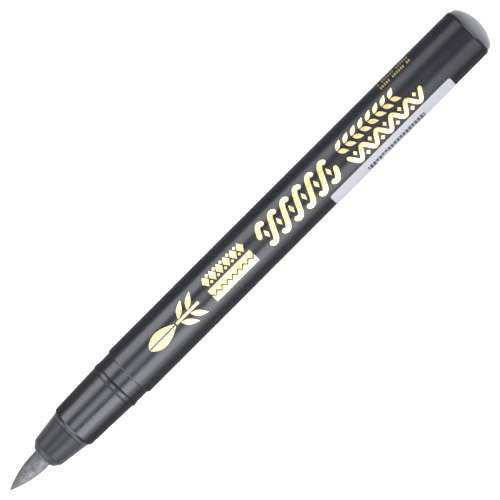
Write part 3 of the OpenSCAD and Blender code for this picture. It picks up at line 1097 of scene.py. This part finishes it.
class MARKER_OT_stage(bpy.types.Operator):
    """Set up the pale floor, the soft lights and the camera"""

    bl_idname = "calligraphy.stage"
    bl_label = "Stage"
    bl_options = {"REGISTER", "UNDO"}

    def execute(self, context):
        stage = context.scene.marker_stage
        self.floor(stage)
        self.world(stage)
        self.camera(stage)
        # Each strip is set by the angle of its middle from overhead towards -Y, its breadth,
        # its two ends along the marker, all in degrees, and its brightness.
        self.strip(stage, "overhead", -2, 27, -43, -4.5, stage.overhead)
        self.strip(stage, "upper", -58, 38, -43, -0.5, stage.upper)
        self.strip(stage, "lower", 48, 37, -43, -0.5, stage.lower)
        self.strip(stage, "side", 77, 20, -43, 2, stage.side_light)
        self.strip(stage, "side_back", 77, 20, 2, 22, stage.side_back)
        self.strip(stage, "upper_back", -60, 34, -0.5, 24, stage.upper_back)
        self.strip(stage, "lower_back", 50, 34, -0.5, 24, stage.lower_back)
        self.card(stage, "front_card", -1, TIP, 15, 0.57, stage.front_light)
        self.card(stage, "back_card", 1, MARKER_END, 16, 0.6, stage.back_card)
        self.wash("wash", Vector((0, 0, 1.4)), 2.4, stage.wash)
        self.wash("side_wash", Vector((-0.5, -1.1, 0.8)), 1.2, stage.side_wash)
        context.scene.view_settings.view_transform = "Standard"
        return {"FINISHED"}

    @staticmethod
    def floor(stage):
        start_fresh()
        bpy.ops.mesh.primitive_plane_add(size=6, location=(0, 0, 0))
        floor = bpy.context.object
        floor.name = "floor"
        f = Finish("pale floor")
        f.set(Base_Color=(*stage.floor, 1.0), Roughness=0.9)
        floor.data.materials.append(f.material)
        floor.visible_glossy = False

    @staticmethod
    def world(stage):
        world = bpy.data.worlds.new("soft surroundings")
        world.use_nodes = True
        background = world.node_tree.nodes["Background"]
        background.inputs["Color"].default_value = (0.97, 0.98, 1.0, 1.0)
        background.inputs["Strength"].default_value = stage.fill
        bpy.context.scene.world = world

    @staticmethod
    def camera(stage):
        place = Vector((TIP + stage.foot, 0, AXIS_Z + stage.distance))
        target = Vector((TIP + stage.aim, -stage.side, AXIS_Z))
        forward = (target - place).normalized()
        up = Vector((math.sin(stage.roll), math.cos(stage.roll), 0))
        right = forward.cross(up).normalized()
        up = right.cross(forward)
        bpy.ops.object.camera_add()
        camera = bpy.context.object
        turned = Matrix((right, up, -forward)).transposed().to_4x4()
        camera.matrix_world = Matrix.Translation(place) @ turned
        camera.data.sensor_width = 36
        camera.data.lens = camera.data.sensor_width * (target - place).length / stage.view_width
        camera.data.clip_start, camera.data.clip_end = 0.01, 20
        bpy.context.scene.camera = camera

    @staticmethod
    def soft_light(name, place, outward, along, size, brightness):
        """A rectangular light at a place that shines against its outward direction."""
        bpy.ops.object.light_add(type="AREA")
        light = bpy.context.object
        light.name = name
        light.data.shape = "RECTANGLE"
        light.data.size, light.data.size_y = size
        light.data.energy = brightness * math.pi * size[0] * size[1]
        light.data.color = (0.935, 0.955, 1.0)
        turned = Matrix((along, outward.cross(along), outward)).transposed().to_4x4()
        light.matrix_world = Matrix.Translation(place) @ turned
        light.visible_camera = False
        return light

    def strip(self, stage, name, middle, breadth, first, last, brightness):
        """A strip of light beside the marker, which faces its axis."""
        distance = stage.light_distance
        turned = math.radians(middle)
        outward = Vector((0, -math.sin(turned), math.cos(turned)))
        low, high = (distance * math.tan(math.radians(a)) for a in (first, last))
        place = Vector((TIP + stage.foot + (low + high) / 2, 0, AXIS_Z)) + outward * distance
        width = 2 * distance * math.tan(math.radians(breadth / 2))
        self.soft_light(name + "_strip", place, outward, Vector((1, 0, 0)), (high - low, width), brightness)

    def card(self, stage, name, way, station, rise, height, brightness):
        """A low card of light beyond one end of the marker, for the faces that look that way."""
        rise = math.radians(rise)
        outward = Vector((way * math.cos(rise), 0, math.sin(rise)))
        place = Vector((station, 0, AXIS_Z)) + outward * stage.light_distance
        self.soft_light(name, place, outward, Vector((0, 1, 0)), (0.9, height), brightness)

    def wash(self, name, place, size, brightness):
        """A broad square light that no polished surface mirrors."""
        outward = place.normalized()
        along = Vector((0, 1, 0)).cross(outward).normalized()
        light = self.soft_light(name, place, outward, along, (size, size), brightness)
        light.visible_glossy = False


class MARKER_PT_panel(bpy.types.Panel):
    """Lists the marker's pieces and settings"""

    bl_idname = "MARKER_PT_panel"
    bl_label = "Calligraphy Marker"
    bl_space_type = "VIEW_3D"
    bl_region_type = "UI"
    bl_category = "Marker"

    def draw(self, context):
        for operator in STEPS:
            self.layout.operator(operator.bl_idname)
        for group in (context.scene.marker_sizes, context.scene.marker_colours, context.scene.marker_stage):
            box = self.layout.box()
            for name in group.__annotations__:
                box.prop(group, name)


STEPS = (
    MARKER_OT_stage,
    MARKER_OT_barrel,
    MARKER_OT_front_section,
    MARKER_OT_nose_cone,
    MARKER_OT_end_plug,
    MARKER_OT_brush_nib,
    MARKER_OT_foil_print,
    MARKER_OT_label,
    MARKER_OT_valve_spring,
    MARKER_OT_inner_finishes,
)
CLASSES = (MarkerSizes, MarkerColours, StageSettings, *STEPS, MARKER_PT_panel)


def register():
    for cls in CLASSES:
        bpy.utils.register_class(cls)
    bpy.types.Scene.marker_sizes = PointerProperty(type=MarkerSizes)
    bpy.types.Scene.marker_colours = PointerProperty(type=MarkerColours)
    bpy.types.Scene.marker_stage = PointerProperty(type=StageSettings)


def unregister():
    del bpy.types.Scene.marker_stage
    del bpy.types.Scene.marker_colours
    del bpy.types.Scene.marker_sizes
    for cls in reversed(CLASSES):
        bpy.utils.unregister_class(cls)


def main():
    """Registers the add-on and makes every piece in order."""
    register()
    for operator in STEPS:
        category, name = operator.bl_idname.split(".")
        getattr(getattr(bpy.ops, category), name)()
    start_fresh()


if __name__ == "__main__":
    main()
